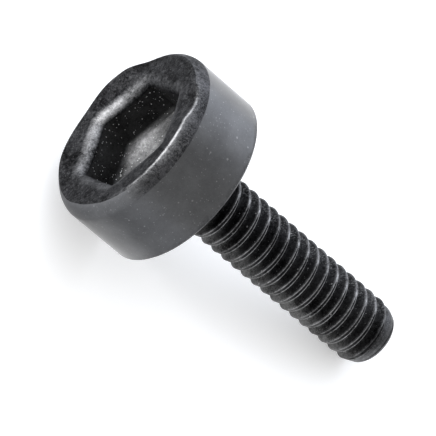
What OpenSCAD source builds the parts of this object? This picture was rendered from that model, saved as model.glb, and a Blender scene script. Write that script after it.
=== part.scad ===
// Socket head screw of black steel: a wide plain head with a hexagon socket on a coarse inch thread.
// It is one forged and rolled piece. All lengths are in millimetres.
// The screw lies on its side as it comes to rest, on the rim under its head and on its last thread crest.

/* [Head] */
// Diameter of the head's plain wall
head_diameter = 16.9; // [15.5:0.1:19]
// Height of the head from its bearing face to its top
head_height = 7.35; // [6.8:0.05:9]
// How far the rounded shoulder comes in from the wall to the ridge around the top
shoulder_inset = 0.68; // [0.4:0.02:0.9]
// How far the rounded shoulder rises from the wall to the ridge around the top
shoulder_rise = 1.25; // [1:0.05:1.5]
// Slope of the shallow dish inside the ridge
dish_slope = 7; // [2:1:10]
// Size of the chamfer around the bearing face
underside_chamfer = 0.2; // [0.1:0.05:0.6]
// Depth of each shallow dip that forging left in the rim
dip_depths = [0.38, 0.12, 0.26]; // [0.1:0.02:0.5]
// Angle of each dip around the head
dip_angles = [91.5, 205.5, 5.5]; // [0:0.5:360]
// Radius of the dips' hollow form
dip_radius = 8; // [6:0.5:20]

/* [Socket] */
// Width of the hexagon socket across its flats
socket_width = 9.5; // [8:0.1:10]
// Depth of the socket's walls below the head's top
socket_depth = 4.05; // [3:0.05:4.5]
// How far the lead-in opens the socket's mouth on each side
lead_in_width = 1; // [0.4:0.05:1.1]
// How deep the lead-in reaches below the mouth
lead_in_depth = 0.55; // [0.3:0.05:0.8]
// Slope of the conical floor
floor_slope = 15; // [5:1:18]

/* [Thread] */
// Outside diameter of the thread
thread_diameter = 6.2; // [5.6:0.05:6.6]
// Distance from one thread crest to the next
pitch = 1.27; // [1:0.01:1.5]
// Length of the shank from the bearing face to the end of its tip
shank_length = 24.65; // [16:0.05:40]
// Depth of the thread as a share of its pitch
thread_depth_share = 0.613; // [0.5:0.001:0.65]
// Width of the flat crest as a share of the pitch
crest_share = 0.125; // [0.08:0.005:0.2]
// Place of the crests along the shank's lower side as a share of the pitch
crest_place_share = 0.51; // [0:0.01:0.99]
// Length of the chamfer at the tip
tip_length = 1.5; // [0.8:0.1:2]
// Diameter of the flat end of the tip
tip_diameter = 5.1; // [4.6:0.05:5.4]
// Length of the plain end of the tip, where the thread's groove has run out
plain_length = 1.3; // [0.6:0.05:1.5]
// How far the plain end lies below the thread's crests
plain_depth = 0.17; // [0.1:0.01:0.3]
// Radius of the fillet under the head
neck_fillet = 0.35; // [0.2:0.05:0.6]

/* [Hidden] */
// Facets of round faces and of the fine edge, steps of the thread in one turn, and sides of the socket
facets = 96;
edge_facets = 540;
turn_steps = 30;
socket_sides = 6;
// Cut forms reach this far past what they cut
overlap = 0.5;
// The neck stands this far outside the thread's crests
crest_clearance = 0.04;
// Turn of the screw about its own axis as it lies
rest_turn = 2;
steel = [0.09, 0.09, 0.1];

// Sizes that follow from the values above
head_radius = head_diameter / 2;
crest_radius = thread_diameter / 2;
thread_depth = pitch * thread_depth_share;
root_radius = crest_radius - thread_depth;
flank_angle = 30;
flank_width = thread_depth * tan(flank_angle);
crest_width = pitch * crest_share;
tip_radius = tip_diameter / 2;
tip_slope = (crest_radius - tip_radius) / tip_length;
plain_radius = crest_radius - plain_depth;
neck_radius = crest_radius + crest_clearance;
ridge_radius = head_radius - shoulder_inset;
shoulder_radius = (shoulder_inset ^ 2 + shoulder_rise ^ 2) / (2 * shoulder_inset);
dish_depth = ridge_radius * tan(dish_slope);
half_side_angle = 180 / socket_sides;
mouth_width = socket_width + 2 * lead_in_width;
mouth_height = head_height - (ridge_radius - mouth_width / 2) * tan(dish_slope);

// Places that may touch the floor, as distance from the head and radius: each crest's edges and the plain end
crest_count = floor(shank_length / pitch) - 1;
lower_place = pitch * (crest_place_share + rest_turn / 360);
function chamfered(reach) = min(crest_radius, tip_radius + (shank_length - reach) * tip_slope);
rest_points = [
    for (crest = [1:crest_count], edge = [-1, 1])
        let (reach = lower_place + crest * pitch + edge * crest_width / 2)
        [reach, chamfered(reach)],
    [shank_length - max(0, plain_radius - tip_radius) / tip_slope, plain_radius]
];

// How the screw lies: its axis leans by this angle, and the bearing face's centre is this high
function lean(point) = atan2(head_radius - point[1], point[0] + underside_chamfer);
rest_angle = min([for (point = rest_points) lean(point)]);
function depth_below(point) = point[0] * sin(rest_angle) + point[1] * cos(rest_angle);
rest_height = max([for (point = rest_points) depth_below(point)]);
head_end = head_height * cos(rest_angle) + ridge_radius * sin(rest_angle);
tip_end = shank_length * cos(rest_angle) + tip_radius * sin(rest_angle);

// Corner outside the rounded shoulder
module shoulder_waste() {
    difference() {
        square([shoulder_inset + overlap, shoulder_rise + overlap]);
        translate([shoulder_inset - shoulder_radius, 0])
            circle(r = shoulder_radius, $fn = facets);
    }
}

// Half section of the head, with the bearing face at height 0
module head_section() {
    difference() {
        square([head_radius, head_height]);
        translate([ridge_radius, head_height - shoulder_rise])
            shoulder_waste();
        polygon([
            [0, head_height - dish_depth],
            [ridge_radius, head_height],
            [0, head_height]
        ]);
    }
}

// Half section of the fillet where the shank meets the bearing face
module neck_section() {
    difference() {
        translate([0, -neck_fillet])
            square([neck_radius + neck_fillet, neck_fillet + overlap]);
        translate([neck_radius + neck_fillet, -neck_fillet])
            circle(r = neck_fillet, $fn = facets);
    }
}

// Tapered form that leaves a chamfer around the bearing face, many-sided so that the screw lies still
module edge_taper() {
    face_radius = head_radius - underside_chamfer;
    taper_height = head_height + overlap;
    linear_extrude(height = taper_height, scale = 1 + taper_height / face_radius)
        circle(r = face_radius, $fn = edge_facets);
}

// Space of the socket: hexagon walls, a lead-in at the mouth and a conical floor
module socket_space() {
    corner_radius = socket_width / 2 / cos(half_side_angle);
    lead_in_slope = lead_in_width / lead_in_depth;
    opening_width = mouth_width + 2 * overlap * lead_in_slope;
    floor_height = head_height - socket_depth;
    rotate([0, 0, half_side_angle]) {
        translate([0, 0, floor_height])
            cylinder(r = corner_radius, h = socket_depth + overlap, $fn = socket_sides);
        translate([0, 0, mouth_height - lead_in_depth])
            linear_extrude(height = lead_in_depth + overlap, scale = opening_width / socket_width)
                circle(r = corner_radius, $fn = socket_sides);
    }
    cone_radius = socket_width / 2;
    cone_depth = cone_radius * tan(floor_slope);
    translate([0, 0, floor_height - cone_depth])
        cylinder(r1 = 0, r2 = cone_radius, h = cone_depth, $fn = facets);
}

// Hollow of one shallow dip across the rim
module dip_space(angle, depth) {
    rotate([0, 0, angle])
        translate([0, 0, head_height - depth + dip_radius])
            rotate([0, 90, 0])
                cylinder(r = dip_radius, h = head_diameter, $fn = 2 * facets);
}

// Corners of the thread's profile in one pitch, as distance along the axis and radius
thread_corners = [
    [0, crest_radius],
    [crest_width, crest_radius],
    [crest_width + flank_width, root_radius],
    [pitch - flank_width, root_radius]
];
corners = len(thread_corners);

// The thread starts inside the head and runs out past the tip
thread_turns = ceil(shank_length / pitch) + 2;
thread_start = pitch * (1 - crest_place_share) + crest_width / 2;
last_step = turn_steps * thread_turns;

// A point of the thread after so many steps, on one corner of its profile
function thread_point(step, corner) =
    let (
        turn = 180 - 360 * step / turn_steps,
        radius = thread_corners[corner][1],
        along = thread_corners[corner][0] + pitch * step / turn_steps
    )
    [radius * cos(turn), radius * sin(turn), thread_start - along];

// Number of the profile corner that follows this one along the axis, after so many steps
function next_corner(step, corner) =
    corner < corners - 1 ? step * corners + corner + 1 : (step + turn_steps) * corners;

// Rod with the thread around it, closed at both ends by a fan to its axis
module threaded_rod() {
    points = [
        for (step = [0:last_step + turn_steps], corner = [0:corners - 1])
            thread_point(step, corner)
    ];
    top = len(points);
    bottom = top + 1;
    axis_points = [
        [0, 0, thread_start - pitch / 2],
        [0, 0, thread_start - pitch * (thread_turns + 1 / 2)]
    ];
    sides = [
        for (step = [0:last_step - 1], corner = [0:corners - 1])
            let (
                a = step * corners + corner,
                b = next_corner(step, corner),
                c = next_corner(step + 1, corner),
                d = a + corners
            )
            each [[a, b, c], [a, c, d]]
    ];
    top_fan = [
        for (step = [0:turn_steps - 1])
            [top, step * corners, (step + 1) * corners],
        for (corner = [0:corners - 1])
            [top, next_corner(0, corner), corner]
    ];
    bottom_fan = [
        for (step = [last_step:last_step + turn_steps - 1])
            [bottom, (step + 1) * corners, step * corners],
        for (corner = [0:corners - 1])
            [bottom, last_step * corners + corner, next_corner(last_step, corner)]
    ];
    polyhedron(points = concat(points, axis_points), faces = concat(sides, top_fan, bottom_fan));
}

// Half section of the blank that the threaded shank is cut from, with the chamfer at its tip
module blank_section() {
    chamfer_top = shank_length - tip_length - crest_clearance / tip_slope;
    polygon([
        [0, overlap],
        [neck_radius, overlap],
        [neck_radius, -chamfer_top],
        [tip_radius, -shank_length],
        [0, -shank_length]
    ]);
}

// Half section of the plain end, which fills the thread's groove and falls away from it as a cone
module plain_section() {
    plain_top = plain_length - shank_length;
    polygon([
        [0, -shank_length - overlap],
        [plain_radius, -shank_length - overlap],
        [plain_radius, plain_top],
        [0, plain_top + plain_radius]
    ]);
}

// The threaded shank with its plain, chamfered tip
module shank() {
    intersection() {
        union() {
            threaded_rod();
            rotate_extrude($fn = facets)
                plain_section();
        }
        rotate_extrude($fn = facets)
            blank_section();
    }
}

// The head with its neck, its socket and the dips in its rim
module head() {
    difference() {
        intersection() {
            rotate_extrude($fn = facets)
                head_section();
            edge_taper();
        }
        socket_space();
        for (dip = [0:len(dip_angles) - 1])
            dip_space(dip_angles[dip], dip_depths[dip]);
    }
    rotate_extrude($fn = facets)
        neck_section();
}

// The whole screw, as it lies
module screw() {
    color(steel)
        translate([(head_end - tip_end) / 2, 0, rest_height])
            rotate([0, rest_angle - 90, 0])
                rotate([0, 0, rest_turn]) {
                    head();
                    shank();
                }
}

screw();
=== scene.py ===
"""Black steel socket head screw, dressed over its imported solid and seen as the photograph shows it."""
import math

import bpy
import numpy as np
from mathutils import Matrix, Vector


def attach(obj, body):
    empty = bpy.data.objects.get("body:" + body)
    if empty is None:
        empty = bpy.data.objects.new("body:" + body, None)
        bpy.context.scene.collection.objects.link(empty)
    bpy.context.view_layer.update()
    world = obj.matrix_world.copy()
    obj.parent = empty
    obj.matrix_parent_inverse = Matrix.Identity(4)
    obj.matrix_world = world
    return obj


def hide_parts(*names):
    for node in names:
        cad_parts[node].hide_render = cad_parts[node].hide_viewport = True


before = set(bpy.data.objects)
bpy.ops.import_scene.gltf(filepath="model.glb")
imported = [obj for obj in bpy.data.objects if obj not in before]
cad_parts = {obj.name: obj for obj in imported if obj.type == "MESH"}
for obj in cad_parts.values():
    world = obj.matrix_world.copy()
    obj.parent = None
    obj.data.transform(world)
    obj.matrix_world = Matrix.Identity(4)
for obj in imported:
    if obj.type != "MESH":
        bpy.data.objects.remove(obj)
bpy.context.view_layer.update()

MM = 0.001
FULL_TURN = 2 * math.pi
QUARTER_TURN = math.pi / 2

# Sizes of the screw in millimetres, as in the part's source apart from the socket's wider lead-in
HEAD_RADIUS = 8.45
HEAD_HEIGHT = 7.35
SHOULDER_INSET = 0.68
SHOULDER_RISE = 1.25
DISH_SLOPE = math.radians(7)
UNDERSIDE_CHAMFER = 0.2
DIP_RADIUS = 8.0
DIP_DEPTH = 0.26
DIP_ANGLE = math.radians(5.5)
SOCKET_SIDES = 6
SOCKET_WIDTH = 9.5
SOCKET_DEPTH = 4.05
LEAD_IN_WIDTH = 1.2
FLOOR_SLOPE = math.radians(15)
CREST_RADIUS = 3.1
PITCH = 1.27
SHANK_LENGTH = 24.65
THREAD_DEPTH_SHARE = 0.613
CREST_SHARE = 0.125
CREST_PLACE_SHARE = 0.51
FLANK_ANGLE = math.radians(30)
TIP_LENGTH = 1.5
TIP_RADIUS = 2.55
PLAIN_LENGTH = 1.3
PLAIN_DEPTH = 0.17
NECK_FILLET = 0.35
CREST_CLEARANCE = 0.04
REST_TURN = math.radians(2)

# Sizes that follow from the values above
THREAD_DEPTH = PITCH * THREAD_DEPTH_SHARE
LOWER_CREST = -CREST_PLACE_SHARE * PITCH
PLAIN_RADIUS = CREST_RADIUS - PLAIN_DEPTH
NECK_RADIUS = CREST_RADIUS + CREST_CLEARANCE
NECK_FOOT = NECK_RADIUS + NECK_FILLET
FACE_RADIUS = HEAD_RADIUS - UNDERSIDE_CHAMFER
TIP_SLOPE = (CREST_RADIUS - TIP_RADIUS) / TIP_LENGTH
RIDGE_RADIUS = HEAD_RADIUS - SHOULDER_INSET
SHOULDER_RADIUS = (SHOULDER_INSET ** 2 + SHOULDER_RISE ** 2) / (2 * SHOULDER_INSET)
SHOULDER_CENTRE = HEAD_RADIUS - SHOULDER_RADIUS
SHOULDER_FOOT = HEAD_HEIGHT - SHOULDER_RISE
MOUTH_WIDTH = SOCKET_WIDTH + 2 * LEAD_IN_WIDTH
SOCKET_BOTTOM = HEAD_HEIGHT - SOCKET_DEPTH
SECTOR_DEGREES = 360 / SOCKET_SIDES
SECTOR = math.radians(SECTOR_DEGREES)


def limited(value):
    """The value, kept between 0 and 1."""
    return min(max(value, 0.0), 1.0)


def between(first, last, share):
    """The value at a share of the way from the first to the last."""
    return first + (last - first) * share


def chamfered(reach):
    """Radius of the crests at a distance from the bearing face, with the chamfer at the tip."""
    return min(CREST_RADIUS, TIP_RADIUS + (SHANK_LENGTH - reach) * TIP_SLOPE)


def lean(reach, radius):
    """Lean of the axis when the screw rests on its head's edge and on this place of its shank."""
    return math.atan2(HEAD_RADIUS - radius, reach + UNDERSIDE_CHAMFER)


# How the screw lies: lean of its axis, and place of the bearing face's centre
REST_POINTS = []
for crest in range(1, int(SHANK_LENGTH / PITCH)):
    for edge in (-1, 1):
        place_share = CREST_PLACE_SHARE + REST_TURN / FULL_TURN + crest + edge * CREST_SHARE / 2
        REST_POINTS.append((place_share * PITCH, chamfered(place_share * PITCH)))
REST_ANGLE = min(lean(*point) for point in REST_POINTS)
LEAN_SIN = math.sin(REST_ANGLE)
LEAN_COS = math.cos(REST_ANGLE)
REST_HEIGHT = max(reach * LEAN_SIN + radius * LEAN_COS for reach, radius in REST_POINTS)
HEAD_END = HEAD_HEIGHT * LEAN_COS + RIDGE_RADIUS * LEAN_SIN
TIP_END = SHANK_LENGTH * LEAN_COS + TIP_RADIUS * LEAN_SIN

AXIS_UP = Vector((LEAN_SIN, 0, LEAN_COS))
AXIS_SIDE = Vector((0, 1, 0))
AXIS_HEAD = Vector((-LEAN_COS, 0, LEAN_SIN))
BEARING_CENTRE = Vector(((HEAD_END - TIP_END) / 2, 0, REST_HEIGHT)) * MM

# Grid of the mesh: one closed sheet whose rows follow the thread's helix
COLUMNS_PER_FLAT = 30
COLUMNS = SOCKET_SIDES * COLUMNS_PER_FLAT
ROWS_PER_PITCH = 16
CORNER_CROWDING = 0.45

# Fine forms of the head
WALL_CORNER_RADIUS = 0.25
MOUTH_CORNER_RADIUS = 2.0
LIP_DEPTH = 0.8
LIP_FLATNESS_SHARE = 0.3
RIDGE_ROUNDING = 0.12
RIDGE_SWEEP = 0.12
FLOOR_FILLET = 0.35

# Uneven rim, which stands for the source's far dips: turning points as angle in degrees and height
RIM_TURNS = [(62, 0), (92, -0.2), (112, 0.37), (124, 0.39), (152, 0.08), (182, 0.2), (218, -0.2), (250, 0)]
# Radius where the rim's rise starts, and how far part of the rim is set in
LOBE_FOOT = 5.9
RIM_INSET = 0.32

# Fine forms of the thread and of the tip
SEAM_DEPTH = 0.09
LIP_DROP = 0.1
CREST_SPREAD_SHARE = 0.6
RUN_OUT_SHARE = 0.5
TIP_ROUNDING = 0.4
TIP_ROUNDING_DEPTH = 0.2
TIP_RING = 0.42
TIP_RING_WIDTH = 0.2

# Distances from the crest's middle as shares of the pitch, and those where the thread's rows lie
HALF_CREST_SHARE = 0.115
SEAM_EDGE_SHARE = 0.065
LINE_PLACE_SHARE = 0.1
LINE_WIDTH_SHARE = 0.034
STROKE_SHARE = 0.2
ROW_SHARES = [0.0, 0.035, SEAM_EDGE_SHARE, 0.083, LINE_PLACE_SHARE, HALF_CREST_SHARE, 0.14, 0.3, 0.5]

# Parts of the screw's round, as middle, half width and soft edge in degrees, by what shows there
INSET_PART = (250, 22, 30)
WIDE_CREST = (-75, 40, 60)
# Painted highlight: a bright stroke along the crests on one side of the round
CREST_HIGHLIGHT = (4, 7, 14)
# Painted sheen: lighter mottled grey on the thread's upper side, where light falls
UPPER_SHEEN = (28, 14, 22)
# Painted sheen: the thread lighter grey on its lower side, standing for a reflection of the floor
LOWER_SHEEN = (-112, 30, 34)
# Painted sheen: the low side of the shoulder and of the plain end lighter, standing for a reflection of the
# floor
LOW_SHEEN_PART = (-92, 30, 36)
# Painted highlight along the near part of the ridge, where the lamp catches it
RIDGE_HIGHLIGHT_PART = (-27, 35, 14)
SCUFFED = (-30, 14, 22)
# Painted shade: the shoulder darker on its near side
SHADED_SHOULDER_PART = (4, 62, 26)
# Painted highlight on the socket's far lip, brightest at a core
LIT_LIP_PART = (152, 44, 40)
LIT_LIP_CORE = (138, 14, 24)
# Painted light: the lit part of the socket's floor
LIT_FLOOR_PART = (140, 20, 36)

# Wear of the thread as a share of bare steel, and the distances from the tip between which it begins
CREST_WEAR = 0.9
CREST_LOW_FADE = 0.6
WEAR_START = 1.3
WEAR_END = 2.2
PLAIN_WEAR = 0.02

# Wear of the head, with painted sheen on its low side and painted highlights on the lip and the socket floor,
# as a share of bare steel, and how it rises and fades along the section
LOW_SHEEN = 0.1
LOW_SHEEN_RISE_SHARE = 0.3
SHOULDER_WEAR = 0.2
SHOULDER_WEAR_POWER = 3
RIDGE_WEAR = 0.05
RIDGE_EDGE_FADE = 0.6
LIP_WEAR = 0.16
LIP_HIGHLIGHT = 0.5
LIP_CORE_HIGHLIGHT = 0.25
LIP_WEAR_AND_HIGHLIGHT_POWER = 1.5
# Painted light on the socket's floor: a bright edge, and a lit patch that fades from its edge
FLOOR_EDGE_HIGHLIGHT = 0.9
FLOOR_HIGHLIGHT = 1.2
FLOOR_HIGHLIGHT_FALL = 0.75
FLOOR_FALL_SHARE = 0.5
FLOOR_DULL_SHARE = 0.3

# Thread greyer toward the tip, dust on the scuffed shoulder, and satin finish of each stretch
TIP_GREY = 0.15
TIP_GREY_LENGTH = 14
SCUFF_DUST = 0.6
SATIN = {
    "wall": 1.0,
    "under_edge": 0.6,
    "bearing": 0.3,
    "shoulder": 1.0,
    "plain_end": 0.42,
    "tip_face": 0.42,
}
THREADED = ("thread", "tip_ring", "neck")
LOBED = ("shoulder", "ridge", "land", "mouth")
IN_SOCKET = ("socket_wall", "floor_edge", "floor")
FINISHES = ("satin", "wear_and_highlight", "thread", "grey_and_sheen", "dust_and_sheen", "socket", "shoulder")

# Stretches of the section from the tip's centre to the socket's centre, each with a number of rows
THREAD_ROWS = (SHANK_LENGTH - NECK_FILLET) / PITCH * ROWS_PER_PITCH
PHASE_START = ROWS_PER_PITCH * ((-SHANK_LENGTH - LOWER_CREST) / PITCH + 0.5)
STRETCHES = [
    ("tip_face", 8 + PHASE_START % 1),
    ("thread", THREAD_ROWS),
    ("neck", 4),
    ("bearing", 8),
    ("under_edge", 5),
    ("wall", 16),
    ("shoulder", 12),
    ("ridge", 5),
    ("land", 12),
    ("mouth", 10),
    ("socket_wall", 14),
    ("floor_edge", 4),
    ("floor", 12),
]
STARTS = {}
EDGES = [0.0]
for stretch_name, stretch_rows in STRETCHES:
    STARTS[stretch_name] = (EDGES[-1], stretch_rows)
    EDGES.append(EDGES[-1] + stretch_rows)
LAST_ROW = EDGES[-1]


def window(angle, part):
    """Share from 0 to 1 that tells how far this angle lies within a part of the round."""
    middle, half, edge = part
    apart = abs((math.degrees(angle) - middle + 180) % 360 - 180)
    return limited((half - apart) / edge + 0.5)


def row_phase(share):
    """Moves evenly spaced rows of one pitch onto the thread's edges, given a share from -0.5 to 0.5."""
    even = np.linspace(0, 0.5, len(ROW_SHARES))
    return math.copysign(float(np.interp(abs(share), even, ROW_SHARES)), share)


def thread_radius(share):
    """Radius of the thread at a share of the pitch from the crest's middle, with its lips and seam."""
    apart = abs(share)
    edge = HALF_CREST_SHARE
    if share <= 0:
        edge -= LIP_DROP * math.tan(FLANK_ANGLE) / PITCH
    flank = (apart - edge) * PITCH / math.tan(FLANK_ANGLE)
    crest = LIP_DROP * limited((1 - share / LINE_PLACE_SHARE) / 2)
    crest += SEAM_DEPTH * max(0.0, 1 - apart / SEAM_EDGE_SHARE)
    return CREST_RADIUS - min(max(flank, crest), THREAD_DEPTH)


def crest_spread(share, angle):
    """How far the profile is drawn out at this share of the pitch, where the crests are wide."""
    apart = abs(share)
    groove = HALF_CREST_SHARE * (0.5 - apart) / (0.5 - HALF_CREST_SHARE)
    return math.copysign(CREST_SPREAD_SHARE * min(apart, groove) * window(angle, WIDE_CREST), share)


def crest_wear(share, angle):
    """Wear of the crest: two bright lines at its edges, and a broad painted highlight along the crests on one
    side of the round.
    """
    line = CREST_WEAR * max(0.0, 1 - abs(abs(share) - LINE_PLACE_SHARE) / LINE_WIDTH_SHARE)
    line *= 1 - CREST_LOW_FADE * window(angle, LOWER_SHEEN)
    stroke = max(0.0, 1 - abs(share) / STROKE_SHARE) * window(angle, CREST_HIGHLIGHT)
    return max(line, stroke)


def hexagon_radius(angle, width, corner_radius):
    """Distance from the axis to a hexagon with rounded corners and a flat at angle 0."""
    off_flat = abs((angle + SECTOR / 2) % SECTOR - SECTOR / 2)
    apothem = width / 2
    to_corner = SECTOR / 2 - off_flat
    centre = (apothem - corner_radius) / math.cos(SECTOR / 2)
    tangent = math.atan((apothem - corner_radius) * math.tan(SECTOR / 2) / apothem)
    if off_flat <= tangent:
        return apothem / math.cos(off_flat)
    return centre * math.cos(to_corner) + math.sqrt(corner_radius ** 2 - (centre * math.sin(to_corner)) ** 2)


def rim_top(radius, angle):
    """Height of the head's dished top at this place, with the shallow dip in its near rim."""
    top = HEAD_HEIGHT - max(0.0, RIDGE_RADIUS - radius) * math.tan(DISH_SLOPE)
    apart = angle - DIP_ANGLE
    across = radius * math.sin(apart)
    if math.cos(apart) > 0 and abs(across) < DIP_RADIUS:
        top = min(top, HEAD_HEIGHT - DIP_DEPTH + DIP_RADIUS - math.sqrt(DIP_RADIUS ** 2 - across ** 2))
    return top


def rim_share(radius, height):
    """Share from 0 to 1 that tells how near a place of the head's top or shoulder is to the ridge."""
    outward = limited((radius - LOBE_FOOT) / (RIDGE_RADIUS - LOBE_FOOT))
    upward = limited((height - SHOULDER_FOOT) / SHOULDER_RISE)
    return min(outward, upward)


def lobe_height(radius, height, angle):
    """How far the rim's lobes lift a place of the head's top or shoulder."""
    place = math.degrees(angle) % 360
    lift = 0.0
    for (first, low), (last, high) in zip(RIM_TURNS, RIM_TURNS[1:]):
        if first <= place < last:
            share = (place - first) / (last - first)
            lift = between(low, high, share * share * (3 - 2 * share))
    return lift * rim_share(radius, height)


def thread_point(share, rows, angle):
    """Radius, height, name of the part and wear, with painted highlight and sheen, at a share of the threaded
    stretch.
    """
    even = between(-SHANK_LENGTH, -NECK_FILLET, share)
    turns = (even - LOWER_CREST) / PITCH - (angle - math.pi) / FULL_TURN
    phase = (turns + 0.5) % 1 - 0.5
    moved = row_phase(phase)
    from_end = min(share, 1 - share) * rows
    fade = min(from_end / ROWS_PER_PITCH, 1.0)
    height = even + (moved - phase) * PITCH * fade
    phase = between(phase, moved, fade)
    height += crest_spread(phase, angle) * PITCH * fade
    run_out = limited(1 + (height + NECK_FILLET) / (RUN_OUT_SHARE * PITCH))
    radius = between(thread_radius(phase), NECK_RADIUS, run_out)
    from_tip = height + SHANK_LENGTH
    plain = PLAIN_RADIUS + min(0.0, PLAIN_LENGTH - from_tip)
    chamfer = TIP_RADIUS + from_tip * TIP_SLOPE
    chamfer -= TIP_ROUNDING_DEPTH * max(0.0, 1 - from_tip / TIP_ROUNDING) ** 2
    if plain <= radius <= chamfer:
        begun = limited((from_tip - WEAR_START) / (WEAR_END - WEAR_START))
        return radius, height, "thread", crest_wear(phase, angle) * begun
    radius = min(max(radius, plain), chamfer)
    name = "tip_ring" if abs(from_tip - TIP_RING) < TIP_RING_WIDTH / 2 else "plain_end"
    # Plain end: slight wear, and painted sheen on its low side
    return radius, height, name, PLAIN_WEAR + LOW_SHEEN * window(angle, LOW_SHEEN_PART)


def turned_point(name, share):
    """Radius, height and wear on the tip's face, the neck, the bearing face, its edge or the head's wall."""
    if name == "tip_face":
        return (TIP_RADIUS - TIP_ROUNDING_DEPTH) * share, -SHANK_LENGTH, PLAIN_WEAR
    if name == "neck":
        turn = share * QUARTER_TURN
        radius = NECK_RADIUS + NECK_FILLET * (1 - math.cos(turn))
        return radius, -NECK_FILLET * (1 - math.sin(turn)), 0.0
    if name == "bearing":
        return between(NECK_FOOT, FACE_RADIUS, share), 0.0, 0.0
    if name == "under_edge":
        return between(FACE_RADIUS, HEAD_RADIUS, share), UNDERSIDE_CHAMFER * share, 0.0
    return HEAD_RADIUS, between(UNDERSIDE_CHAMFER, SHOULDER_FOOT, share), 0.0


def ridge_sweep(angle):
    """Angle of the shoulder's arc from the wall to the ridge."""
    return math.asin((rim_top(RIDGE_RADIUS, angle) - SHOULDER_FOOT) / SHOULDER_RADIUS)


def shoulder_arc(turn):
    """Radius and height on the shoulder's arc."""
    radius = SHOULDER_CENTRE + SHOULDER_RADIUS * math.cos(turn)
    return radius, SHOULDER_FOOT + SHOULDER_RADIUS * math.sin(turn)


def shoulder_point(name, share, angle):
    """Radius, height and wear, with painted sheen on the low side and a painted highlight along the ridge's
    near part, on the rounded shoulder or on the ridge, which is rounded off more tightly.
    """
    sweep = ridge_sweep(angle)
    if name == "shoulder":
        radius, height = shoulder_arc(share * (sweep - RIDGE_SWEEP))
        # Painted sheen toward the shoulder's low side
        low_sheen = LOW_SHEEN * window(angle, LOW_SHEEN_PART) * min(share / LOW_SHEEN_RISE_SHARE, 1.0)
        return radius, height, SHOULDER_WEAR * share ** SHOULDER_WEAR_POWER + low_sheen
    foot = shoulder_arc(sweep - RIDGE_SWEEP)
    corner = shoulder_arc(sweep)
    end_radius = corner[0] - RIDGE_ROUNDING
    end = (end_radius, rim_top(end_radius, angle))
    weights = ((1 - share) ** 2, 2 * share * (1 - share), share ** 2)
    radius = sum(weight * point[0] for weight, point in zip(weights, (foot, corner, end)))
    height = sum(weight * point[1] for weight, point in zip(weights, (foot, corner, end)))
    # Painted highlight: brighter steel along the ridge's near part, over light wear all round
    wear = between(RIDGE_WEAR, 1.0, window(angle, RIDGE_HIGHLIGHT_PART))
    return radius, height, wear * (1 - RIDGE_EDGE_FADE * abs(2 * share - 1))


def socket_point(name, share, angle):
    """Radius, height and wear, with painted highlights on the lip and the socket floor, on the land inside
    the ridge, or in the socket.
    """
    mouth = hexagon_radius(angle, MOUTH_WIDTH, MOUTH_CORNER_RADIUS)
    wall = hexagon_radius(angle, SOCKET_WIDTH, WALL_CORNER_RADIUS)
    if name == "land":
        ridge_end = shoulder_arc(ridge_sweep(angle))[0] - RIDGE_ROUNDING
        radius = between(ridge_end, mouth, share)
        return radius, rim_top(radius, angle), 0.0
    turn = share * QUARTER_TURN
    lip_top = rim_top(mouth, angle)
    if name == "mouth":
        inward = between(math.sin(turn), share, LIP_FLATNESS_SHARE)
        drop = between(1 - math.cos(turn), share, LIP_FLATNESS_SHARE)
        # Light wear all round the lip, with a painted highlight on its far side and a brighter painted core
        wear = LIP_WEAR
        wear += LIP_HIGHLIGHT * window(angle, LIT_LIP_PART)
        wear += LIP_CORE_HIGHLIGHT * window(angle, LIT_LIP_CORE)
        wear *= math.sin(math.pi * share) ** LIP_WEAR_AND_HIGHLIGHT_POWER
        return between(mouth, wall, inward), lip_top - LIP_DEPTH * drop, wear
    # Painted light: the socket floor's lit patch and its bright edge line, strongest at the far edge
    bright = window(angle, LIT_FLOOR_PART)
    if name == "socket_wall":
        return wall, between(lip_top - LIP_DEPTH, SOCKET_BOTTOM + FLOOR_FILLET, share), 0.0
    if name == "floor_edge":
        radius = wall - FLOOR_FILLET * (1 - math.cos(turn))
        return radius, SOCKET_BOTTOM + FLOOR_FILLET * (1 - math.sin(turn)), FLOOR_EDGE_HIGHLIGHT * share * bright
    radius = (wall - FLOOR_FILLET) * (1 - share)
    slope_start = SOCKET_WIDTH / 2 - FLOOR_FILLET
    height = SOCKET_BOTTOM - max(0.0, slope_start - radius) * math.tan(FLOOR_SLOPE)
    wear = FLOOR_HIGHLIGHT - FLOOR_HIGHLIGHT_FALL * min(1.0, share / FLOOR_FALL_SHARE)
    return radius, height, wear * between(FLOOR_DULL_SHARE, 1.0, bright)


def stretch_at(place):
    """Name and rows of the stretch at a place along the section, and the share of it that lies before."""
    for name, (start, rows) in STARTS.items():
        if place <= start + rows:
            return name, rows, (place - start) / rows


def section_point(place, angle):
    """Radius, height, name of the stretch and wear, with painted highlights and sheen, at a place along the
    section, at this angle.
    """
    name, rows, share = stretch_at(place)
    if name == "thread":
        return thread_point(share, rows, angle)
    if name in ("shoulder", "ridge"):
        radius, height, wear = shoulder_point(name, share, angle)
    elif name in ("land", "mouth", *IN_SOCKET):
        radius, height, wear = socket_point(name, share, angle)
    else:
        radius, height, wear = turned_point(name, share)
    if name in LOBED:
        inset = RIM_INSET * window(angle, INSET_PART) * rim_share(radius, height)
        height += lobe_height(radius, height, angle)
        radius -= inset
    return radius, height, name, wear


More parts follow.
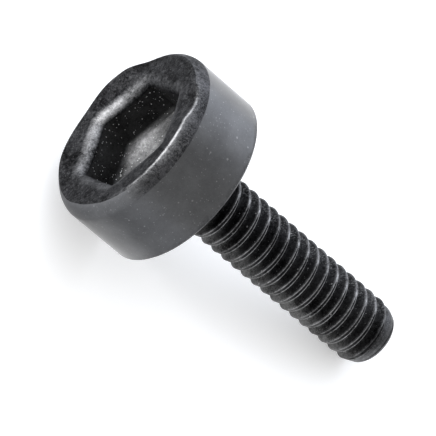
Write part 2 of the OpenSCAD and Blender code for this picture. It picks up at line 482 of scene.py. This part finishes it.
def finish_at(name, height, angle, wear):
    """Finish of a place, as the values of the mesh's attributes."""
    on_thread = 1.0 if name in THREADED else 0.0
    on_shoulder = 1.0 if name == "shoulder" else 0.0
    # Painted shade: the near side of the shoulder darker
    black = on_shoulder * window(angle, SHADED_SHOULDER_PART)
    scuffed = on_shoulder * SCUFF_DUST * window(angle, SCUFFED)
    tip_grey = TIP_GREY * limited(1 - (height + SHANK_LENGTH) / TIP_GREY_LENGTH)
    return {
        "satin": SATIN.get(name, 0.0) * (1 - black),
        "wear_and_highlight": wear,
        "thread": on_thread,
        "grey_and_sheen": on_thread * max(window(angle, LOWER_SHEEN), tip_grey),
        # Painted sheen on the thread's upper side, and dust on the scuffed shoulder
        "dust_and_sheen": on_thread * window(angle, UPPER_SHEEN) + scuffed,
        "socket": 1.0 if name in IN_SOCKET else 0.0,
        "shoulder": black,
    }


def snapped(place):
    """The place itself, or the edge between two stretches if that is less than half a row away."""
    for edge in EDGES:
        if -0.5 < place - edge <= 0.5:
            return edge
    return min(max(place, 0.0), LAST_ROW)


def column_angles():
    """Angles of the columns, crowded at the socket's corners."""
    angles = []
    for flat in range(SOCKET_SIDES):
        for step in range(COLUMNS_PER_FLAT):
            even = 2 * step / COLUMNS_PER_FLAT - 1
            crowded = (1 - CORNER_CROWDING) * even + CORNER_CROWDING * even ** 3
            angles.append(math.radians(SECTOR_DEGREES * flat + SECTOR_DEGREES / 2 * crowded))
    return angles


def lying_point(radius, height, angle):
    """Place in metres of a point of the screw, as the screw lies."""
    turn = angle + REST_TURN
    spot = AXIS_UP * (radius * math.cos(turn)) + AXIS_SIDE * (radius * math.sin(turn))
    return BEARING_CENTRE + (spot + AXIS_HEAD * height) * MM


def build_screw():
    """The screw as one mesh where it lies, with the finish of each place in attributes."""
    angles = column_angles()
    index = {}
    ends = {}
    points = []
    finishes = []

    def vertex(row, column):
        """Number of the point at this row and column, which is made when it is first asked for."""
        if column == COLUMNS:
            row, column = row + ROWS_PER_PITCH, 0
        if (row, column) in index:
            return index[row, column]
        angle = angles[column]
        place = snapped(row - ROWS_PER_PITCH + ROWS_PER_PITCH * (angle - angles[0]) / FULL_TURN)
        if place in ends:
            index[row, column] = ends[place]
            return ends[place]
        radius, height, name, wear = section_point(place, angle)
        points.append(lying_point(radius, height, angle))
        finishes.append(finish_at(name, height, angle, wear))
        index[row, column] = len(points) - 1
        if place in (0.0, LAST_ROW):
            ends[place] = len(points) - 1
        return index[row, column]

    faces = []
    for row in range(int(LAST_ROW) + ROWS_PER_PITCH + 2):
        for column in range(COLUMNS):
            a = vertex(row, column)
            b = vertex(row, column + 1)
            c = vertex(row + 1, column + 1)
            d = vertex(row + 1, column)
            for corners in ((a, b, d), (b, c, d)):
                if len(set(corners)) == 3:
                    faces.append(corners)
    mesh = bpy.data.meshes.new("screw_body")
    mesh.from_pydata(points, [], faces)
    for name in FINISHES:
        layer = mesh.attributes.new(name, "FLOAT", "POINT")
        layer.data.foreach_set("value", [finish[name] for finish in finishes])
    mesh.shade_smooth()
    mesh.validate()
    return mesh


class Graph:
    """Node tree of a material or of the room, with short ways to add to it."""

    def __init__(self, tree):
        self.tree = tree

    def node(self, kind, **values):
        """A node of this kind with these input values."""
        made = self.tree.nodes.new(kind)
        for name, value in values.items():
            made.inputs[name].default_value = value
        return made

    def feed(self, socket, value):
        """Gives an input a number, a colour or what another node puts out."""
        if isinstance(value, (int, float)):
            socket.default_value = value
        elif isinstance(value, tuple):
            socket.default_value = (*value, 1)
        else:
            self.tree.links.new(value, socket)

    def coordinates(self, kind):
        """Coordinates of this kind."""
        return self.node("ShaderNodeTexCoord").outputs[kind]

    def attribute(self, name):
        """Values of one of the mesh's attributes."""
        made = self.node("ShaderNodeAttribute")
        made.attribute_name = name
        return made.outputs["Fac"]

    def calculate(self, operation, first, second):
        """Result of two values, each a socket or a number."""
        made = self.node("ShaderNodeMath")
        made.operation = operation
        self.feed(made.inputs[0], first)
        self.feed(made.inputs[1], second)
        return made.outputs[0]

    def add(self, first, second):
        """Sum of two values."""
        return self.calculate("ADD", first, second)

    def subtract(self, first, second):
        """Difference of two values."""
        return self.calculate("SUBTRACT", first, second)

    def multiply(self, first, second):
        """Product of two values."""
        return self.calculate("MULTIPLY", first, second)

    def mix(self, share, first, second):
        """Mix of two colours by a share."""
        made = self.node("ShaderNodeMix")
        made.data_type = "RGBA"
        for name, value in (("Factor", share), ("A", first), ("B", second)):
            self.feed(next(socket for socket in made.inputs if socket.name == name and socket.enabled), value)
        return next(socket for socket in made.outputs if socket.enabled)

    def scaled(self, colour, level):
        """A colour that is made brighter or darker by a level."""
        made = self.node("ShaderNodeVectorMath")
        made.operation = "SCALE"
        self.feed(made.inputs[0], colour)
        self.feed(made.inputs["Scale"], level)
        return made.outputs["Vector"]

    def facing(self, coords, direction):
        """Share from 0 to 1 that tells how far a place lies in this direction."""
        made = self.node("ShaderNodeVectorMath")
        made.operation = "DOT_PRODUCT"
        self.feed(made.inputs[0], coords)
        made.inputs[1].default_value = direction.normalized()
        return self.calculate("MAXIMUM", made.outputs["Value"], 0.0)

    def noise(self, coords, scale, detail, roughness):
        """Cloudy noise from 0 to 1."""
        made = self.node("ShaderNodeTexNoise", Scale=scale, Detail=detail, Roughness=roughness)
        self.feed(made.inputs["Vector"], coords)
        return made.outputs["Fac"]

    def ramp(self, value, low, high):
        """Share from 0 to 1 as the value goes from low to high."""
        made = self.node("ShaderNodeMapRange")
        made.inputs["From Min"].default_value = low
        made.inputs["From Max"].default_value = high
        self.feed(made.inputs["Value"], value)
        return made.outputs["Result"]

    def specks(self, coords, scale, share, size):
        """Share from 0 to 1 of scattered small specks, in so many of the cells of this scale."""
        cells = self.node("ShaderNodeTexVoronoi", Scale=scale)
        self.feed(cells.inputs["Vector"], coords)
        pick = self.node("ShaderNodeSeparateColor")
        self.feed(pick.inputs["Color"], cells.outputs["Color"])
        few = self.calculate("LESS_THAN", pick.outputs["Red"], share)
        reach = self.multiply(pick.outputs["Green"], size)
        near = self.calculate("LESS_THAN", cells.outputs["Distance"], reach)
        return self.multiply(near, few)


# Colours of the steel's finish
OXIDE = (0.008, 0.008, 0.009)
OXIDE_GREY = (0.06, 0.06, 0.062)
WALL = (0.096, 0.097, 0.1)
SHOULDER_SHADE = (0.052, 0.052, 0.055)
THREAD = (0.015, 0.015, 0.016)
GREY_SHEEN = (0.065, 0.065, 0.065)
DEEP = (0.055, 0.055, 0.055)
BARE_AND_HIGHLIGHT = (0.34, 0.34, 0.345)
DUST_AND_SHEEN = (0.5, 0.5, 0.5)
SPARKLE = (1.0, 1.0, 1.0)
LIMB_TINT = (0.68, 0.68, 0.68)

# Noises as scale, detail and roughness, and the part of each noise that counts
GRAIN_NOISE = (11000, 2, 0.6)
MOTTLE_NOISE = (3200, 5, 0.65)
BROAD_NOISE = (500, 3, 0.5)
BLOTCH_NOISE = (2600, 6, 0.75)
FILM_NOISE = (5200, 3, 0.6)
UNEVEN_RANGE = (0.3, 0.7)
PATCH_RANGE = (0.3, 0.65)
BLOTCH_RANGE = (0.38, 0.68)
FILM_RANGE = (0.5, 0.66)

# Specks as scale of their cells, share of the cells that hold one, and size
DUST_SPECKS = (2200, 0.26, 0.24)
SPARKLE_SPECKS = (5200, 0.4, 0.32)

# Strengths of the finish's parts
PATCH_STRENGTH = 0.25
SATIN_EVENNESS = 0.9
WEAR_AND_HIGHLIGHT_EVENNESS = 0.5
UNEVEN_MIDDLE = 1.5
UNEVEN_STRENGTH = 1.2
BROAD_MIDDLE = 0.5
BROAD_STRENGTH = 0.25
DARKEST_LEVEL = 0.15
SATIN_DUST = 0.2
THREAD_DUST = 0.4
FILM_STRENGTH = 0.24
OUTSIDE_SPARKLE = 0.08
SPARKLE_STRENGTH = 0.8
OXIDE_ROUGHNESS = 0.62
SATIN_POLISH = 0.3
WEAR_AND_HIGHLIGHT_POLISH = 0.1
BUMP_STRENGTH = 0.8
BUMP_DISTANCE = 0.00004
GRAIN_BUMP = 0.4


def finish_colour(graph, coords, mottle, finish):
    """Colour of the oxide, the satin wall, the shoulder's painted shade, the thread with its painted sheen,
    the socket and the bare steel of wear and painted highlights.
    """
    blotch = graph.ramp(graph.noise(coords, *BLOTCH_NOISE), *BLOTCH_RANGE)
    colour = graph.mix(blotch, OXIDE, OXIDE_GREY)
    colour = graph.mix(finish["satin"], colour, WALL)
    # Painted shade on the shoulder's near side
    colour = graph.mix(finish["shoulder"], colour, SHOULDER_SHADE)
    colour = graph.mix(finish["thread"], colour, THREAD)
    # Painted sheen on the thread's lower side, and grey toward the tip
    colour = graph.mix(finish["grey_and_sheen"], colour, GREY_SHEEN)
    colour = graph.mix(finish["socket"], colour, DEEP)
    patches = graph.multiply(graph.ramp(mottle, *PATCH_RANGE), PATCH_STRENGTH)
    patches = graph.add(patches, 1 - PATCH_STRENGTH)
    # Bare, brighter steel for wear and for painted highlights and sheen
    return graph.mix(graph.multiply(finish["wear_and_highlight"], patches), colour, BARE_AND_HIGHLIGHT)


def rough_part(graph, finish):
    """Share from 0 to 1 of unevenness: high on plain oxide, low on the satin wall, less where it is worn and
    where highlights are painted.
    """
    dull = graph.subtract(1.0, graph.multiply(finish["satin"], SATIN_EVENNESS))
    smooth = graph.calculate("MAXIMUM", finish["wear_and_highlight"], finish["socket"])
    smooth = graph.multiply(smooth, WEAR_AND_HIGHLIGHT_EVENNESS)
    return graph.multiply(dull, graph.subtract(1.0, smooth))


def brightness(graph, mottle, grain, broad, rough_share):
    """Level that the colour is scaled by: mottled where the oxide is rough, nearly even on the satin wall."""
    uneven = graph.add(graph.ramp(mottle, *UNEVEN_RANGE), graph.ramp(grain, *UNEVEN_RANGE))
    uneven = graph.add(uneven, graph.ramp(broad, *UNEVEN_RANGE))
    uneven = graph.multiply(graph.subtract(uneven, UNEVEN_MIDDLE), rough_share)
    level = graph.add(1.0, graph.multiply(uneven, UNEVEN_STRENGTH))
    drift = graph.multiply(graph.subtract(broad, BROAD_MIDDLE), BROAD_STRENGTH)
    return graph.calculate("MAXIMUM", graph.add(level, drift), DARKEST_LEVEL)


def dusted(graph, coords, colour, finish):
    """The colour with specks of dust, a film that is dust on the scuffed shoulder and painted sheen on the
    thread's upper side, and with small sparkles, strongest in the socket.
    """
    dust = graph.multiply(finish["satin"], SATIN_DUST)
    dust = graph.add(dust, graph.multiply(finish["thread"], THREAD_DUST))
    dust = graph.multiply(graph.specks(coords, *DUST_SPECKS), dust)
    colour = graph.mix(dust, colour, DUST_AND_SHEEN)
    # The film is dust on the scuffed shoulder and painted sheen on the thread's upper side
    film = graph.ramp(graph.noise(coords, *FILM_NOISE), *FILM_RANGE)
    film = graph.multiply(graph.multiply(finish["dust_and_sheen"], film), FILM_STRENGTH)
    colour = graph.mix(film, colour, DUST_AND_SHEEN)
    sparkle = graph.multiply(graph.add(finish["socket"], OUTSIDE_SPARKLE), SPARKLE_STRENGTH)
    sparkle = graph.multiply(sparkle, graph.subtract(1.0, finish["wear_and_highlight"]))
    sparkle = graph.multiply(graph.specks(coords, *SPARKLE_SPECKS), sparkle)
    return graph.mix(sparkle, colour, SPARKLE)


def make_steel():
    """Steel with black oxide, satin on the wall, bare and brighter where it is burnished and where highlights
    and sheen are painted, and darker where shade is painted on the shoulder.
    """
    steel = bpy.data.materials.new("black_steel")
    steel.use_nodes = True
    graph = Graph(steel.node_tree)
    shader = steel.node_tree.nodes["Principled BSDF"]
    coords = graph.coordinates("Object")
    finish = {name: graph.attribute(name) for name in FINISHES}
    grain = graph.noise(coords, *GRAIN_NOISE)
    mottle = graph.noise(coords, *MOTTLE_NOISE)
    broad = graph.noise(coords, *BROAD_NOISE)
    rough_share = rough_part(graph, finish)

    colour = finish_colour(graph, coords, mottle, finish)
    colour = graph.scaled(colour, brightness(graph, mottle, grain, broad, rough_share))
    graph.feed(shader.inputs["Base Color"], dusted(graph, coords, colour, finish))
    shader.inputs["Metallic"].default_value = 1.0
    shader.inputs["Specular Tint"].default_value = (*LIMB_TINT, 1)

    roughness = graph.subtract(OXIDE_ROUGHNESS, graph.multiply(finish["satin"], SATIN_POLISH))
    roughness = graph.subtract(roughness, graph.multiply(finish["wear_and_highlight"], WEAR_AND_HIGHLIGHT_POLISH))
    graph.feed(shader.inputs["Roughness"], roughness)

    bump = graph.node("ShaderNodeBump", Strength=BUMP_STRENGTH, Distance=BUMP_DISTANCE)
    texture = graph.add(mottle, graph.multiply(grain, GRAIN_BUMP))
    graph.feed(bump.inputs["Height"], graph.multiply(texture, rough_share))
    graph.feed(shader.inputs["Normal"], bump.outputs["Normal"])
    return steel


screw_mesh = build_screw()
screw_mesh.materials.append(make_steel())
screw = bpy.data.objects.new("screw_body", screw_mesh)
bpy.context.scene.collection.objects.link(screw)

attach(screw, "root")
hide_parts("screw")

# Camera, read from the photograph's outline in pixels of its 436 by 436 frame
FRAME_PIXELS = 436
FOCAL_PIXELS = 4293
AXIS_TILT = math.radians(61.06)
AXIS_SPIN = math.radians(40.23)
LYING_TURN = math.radians(-37.5)
CENTRE_RIGHT = -33.4
CENTRE_DOWN = -38.8
DISTANCE_RADII = 43.243
SENSOR_WIDTH = 36
CLIP_START = 0.01

# Directions as the camera sees the screw: its near and its low side, and the picture's own sides
AWAY = -AXIS_HEAD
NEAR_SIDE = AXIS_UP * math.cos(LYING_TURN) + AXIS_SIDE * math.sin(LYING_TURN)
LOW_SIDE = AXIS_UP * math.sin(LYING_TURN) - AXIS_SIDE * math.cos(LYING_TURN)
ALONG_AXIS = AWAY * math.sin(AXIS_TILT) + NEAR_SIDE * math.cos(AXIS_TILT)
TO_CAMERA = NEAR_SIDE * math.sin(AXIS_TILT) - AWAY * math.cos(AXIS_TILT)
PICTURE_RIGHT = ALONG_AXIS * math.cos(AXIS_SPIN) - LOW_SIDE * math.sin(AXIS_SPIN)
PICTURE_DOWN = ALONG_AXIS * math.sin(AXIS_SPIN) + LOW_SIDE * math.cos(AXIS_SPIN)


def place_camera():
    """The camera, placed so that the screw lies in the frame as in the photograph."""
    camera_data = bpy.data.cameras.new("camera")
    camera_data.sensor_width = SENSOR_WIDTH
    camera_data.lens = FOCAL_PIXELS / FRAME_PIXELS * SENSOR_WIDTH
    camera_data.clip_start = CLIP_START
    camera = bpy.data.objects.new("camera", camera_data)
    bpy.context.scene.collection.objects.link(camera)
    bpy.context.scene.camera = camera
    distance = DISTANCE_RADII * HEAD_RADIUS * MM
    off_centre = PICTURE_RIGHT * CENTRE_RIGHT + PICTURE_DOWN * CENTRE_DOWN
    spot = BEARING_CENTRE + TO_CAMERA * distance - off_centre * (distance / FOCAL_PIXELS)
    turned = Matrix((PICTURE_RIGHT, -PICTURE_DOWN, TO_CAMERA)).transposed().to_4x4()
    camera.matrix_world = Matrix.Translation(spot) @ turned


# Floor: pale, lifted to white for the camera and on one side in reflections, while it keeps the shadow
FLOOR_HALF = 1.5
FLOOR_CORNERS = [(-1, -1), (1, -1), (1, 1), (-1, 1)]
FLOOR_COLOUR = (0.9, 0.9, 0.9, 1)
WHITE = (1, 1, 1)
CAMERA_LIFT = 0.3
GLOSSY_LIFT = 1.6
GLOW_RANGE_X = (-0.018, -0.008)
GLOW_RANGE_Y = (-0.017, -0.009)


def make_pale():
    """The floor's material."""
    pale = bpy.data.materials.new("pale_floor")
    pale.use_nodes = True
    nodes = pale.node_tree.nodes
    nodes.remove(nodes["Principled BSDF"])
    graph = Graph(pale.node_tree)
    light_path = graph.node("ShaderNodeLightPath")
    place = graph.node("ShaderNodeSeparateXYZ")
    graph.feed(place.inputs[0], graph.coordinates("Object"))
    glow_x = graph.ramp(place.outputs["X"], *GLOW_RANGE_X)
    glow_y = graph.ramp(place.outputs["Y"], *GLOW_RANGE_Y)
    glossy_lift = graph.multiply(light_path.outputs["Is Glossy Ray"], graph.multiply(glow_x, glow_y))
    glossy_lift = graph.multiply(glossy_lift, GLOSSY_LIFT)
    camera_lift = graph.multiply(light_path.outputs["Is Camera Ray"], CAMERA_LIFT)
    lift = graph.node("ShaderNodeEmission", Color=(*WHITE, 1))
    graph.feed(lift.inputs["Strength"], graph.add(camera_lift, glossy_lift))
    diffuse = graph.node("ShaderNodeBsdfDiffuse", Color=FLOOR_COLOUR)
    both = graph.node("ShaderNodeAddShader")
    graph.feed(both.inputs[0], diffuse.outputs[0])
    graph.feed(both.inputs[1], lift.outputs[0])
    graph.feed(nodes["Material Output"].inputs["Surface"], both.outputs[0])
    return pale


floor_mesh = bpy.data.meshes.new("floor")
floor_mesh.from_pydata([(x * FLOOR_HALF, y * FLOOR_HALF, 0) for x, y in FLOOR_CORNERS], [], [(0, 1, 2, 3)])
floor_mesh.materials.append(make_pale())
floor = bpy.data.objects.new("floor", floor_mesh)
bpy.context.scene.collection.objects.link(floor)

# Light: a pale room, brighter to both sides of the screw, and a lamp that shines along it onto its head
FRONT_LIGHT = 0.75
LOW_LIGHT = 1.0
LOW_POWER = 3.0
HIGH_LIGHT = 2.7
HIGH_POWER = 2.0
HIGH_SETBACK = 0.5
COOL_WHITE = (0.92, 0.97, 1.07)
KEY_ENERGY = 1.8
KEY_ANGLE = math.radians(10)
KEY_ALONG = -0.92
KEY_NEAR = 0.39


def make_room():
    """The room around the screw, with its light."""
    world = bpy.data.worlds.new("room")
    bpy.context.scene.world = world
    world.use_nodes = True
    graph = Graph(world.node_tree)
    background = world.node_tree.nodes["Background"]
    coords = graph.coordinates("Generated")
    low_share = graph.facing(coords, LOW_SIDE)
    high_share = graph.facing(coords, -LOW_SIDE - NEAR_SIDE * HIGH_SETBACK)
    low_level = graph.multiply(graph.calculate("POWER", low_share, LOW_POWER), LOW_LIGHT)
    high_level = graph.multiply(graph.calculate("POWER", high_share, HIGH_POWER), HIGH_LIGHT)
    room_level = graph.add(graph.add(low_level, high_level), FRONT_LIGHT)
    graph.feed(background.inputs["Strength"], room_level)
    graph.feed(background.inputs["Color"], graph.mix(high_share, WHITE, COOL_WHITE))


def make_key():
    """The lamp that shines along the screw."""
    key_data = bpy.data.lights.new("key", "SUN")
    key_data.energy = KEY_ENERGY
    key_data.angle = KEY_ANGLE
    key = bpy.data.objects.new("key", key_data)
    bpy.context.scene.collection.objects.link(key)
    key_from = ALONG_AXIS * KEY_ALONG + TO_CAMERA * KEY_NEAR
    key.rotation_euler = key_from.to_track_quat("Z", "Y").to_euler()


place_camera()
make_room()
make_key()
bpy.context.scene.view_settings.view_transform = "Standard"
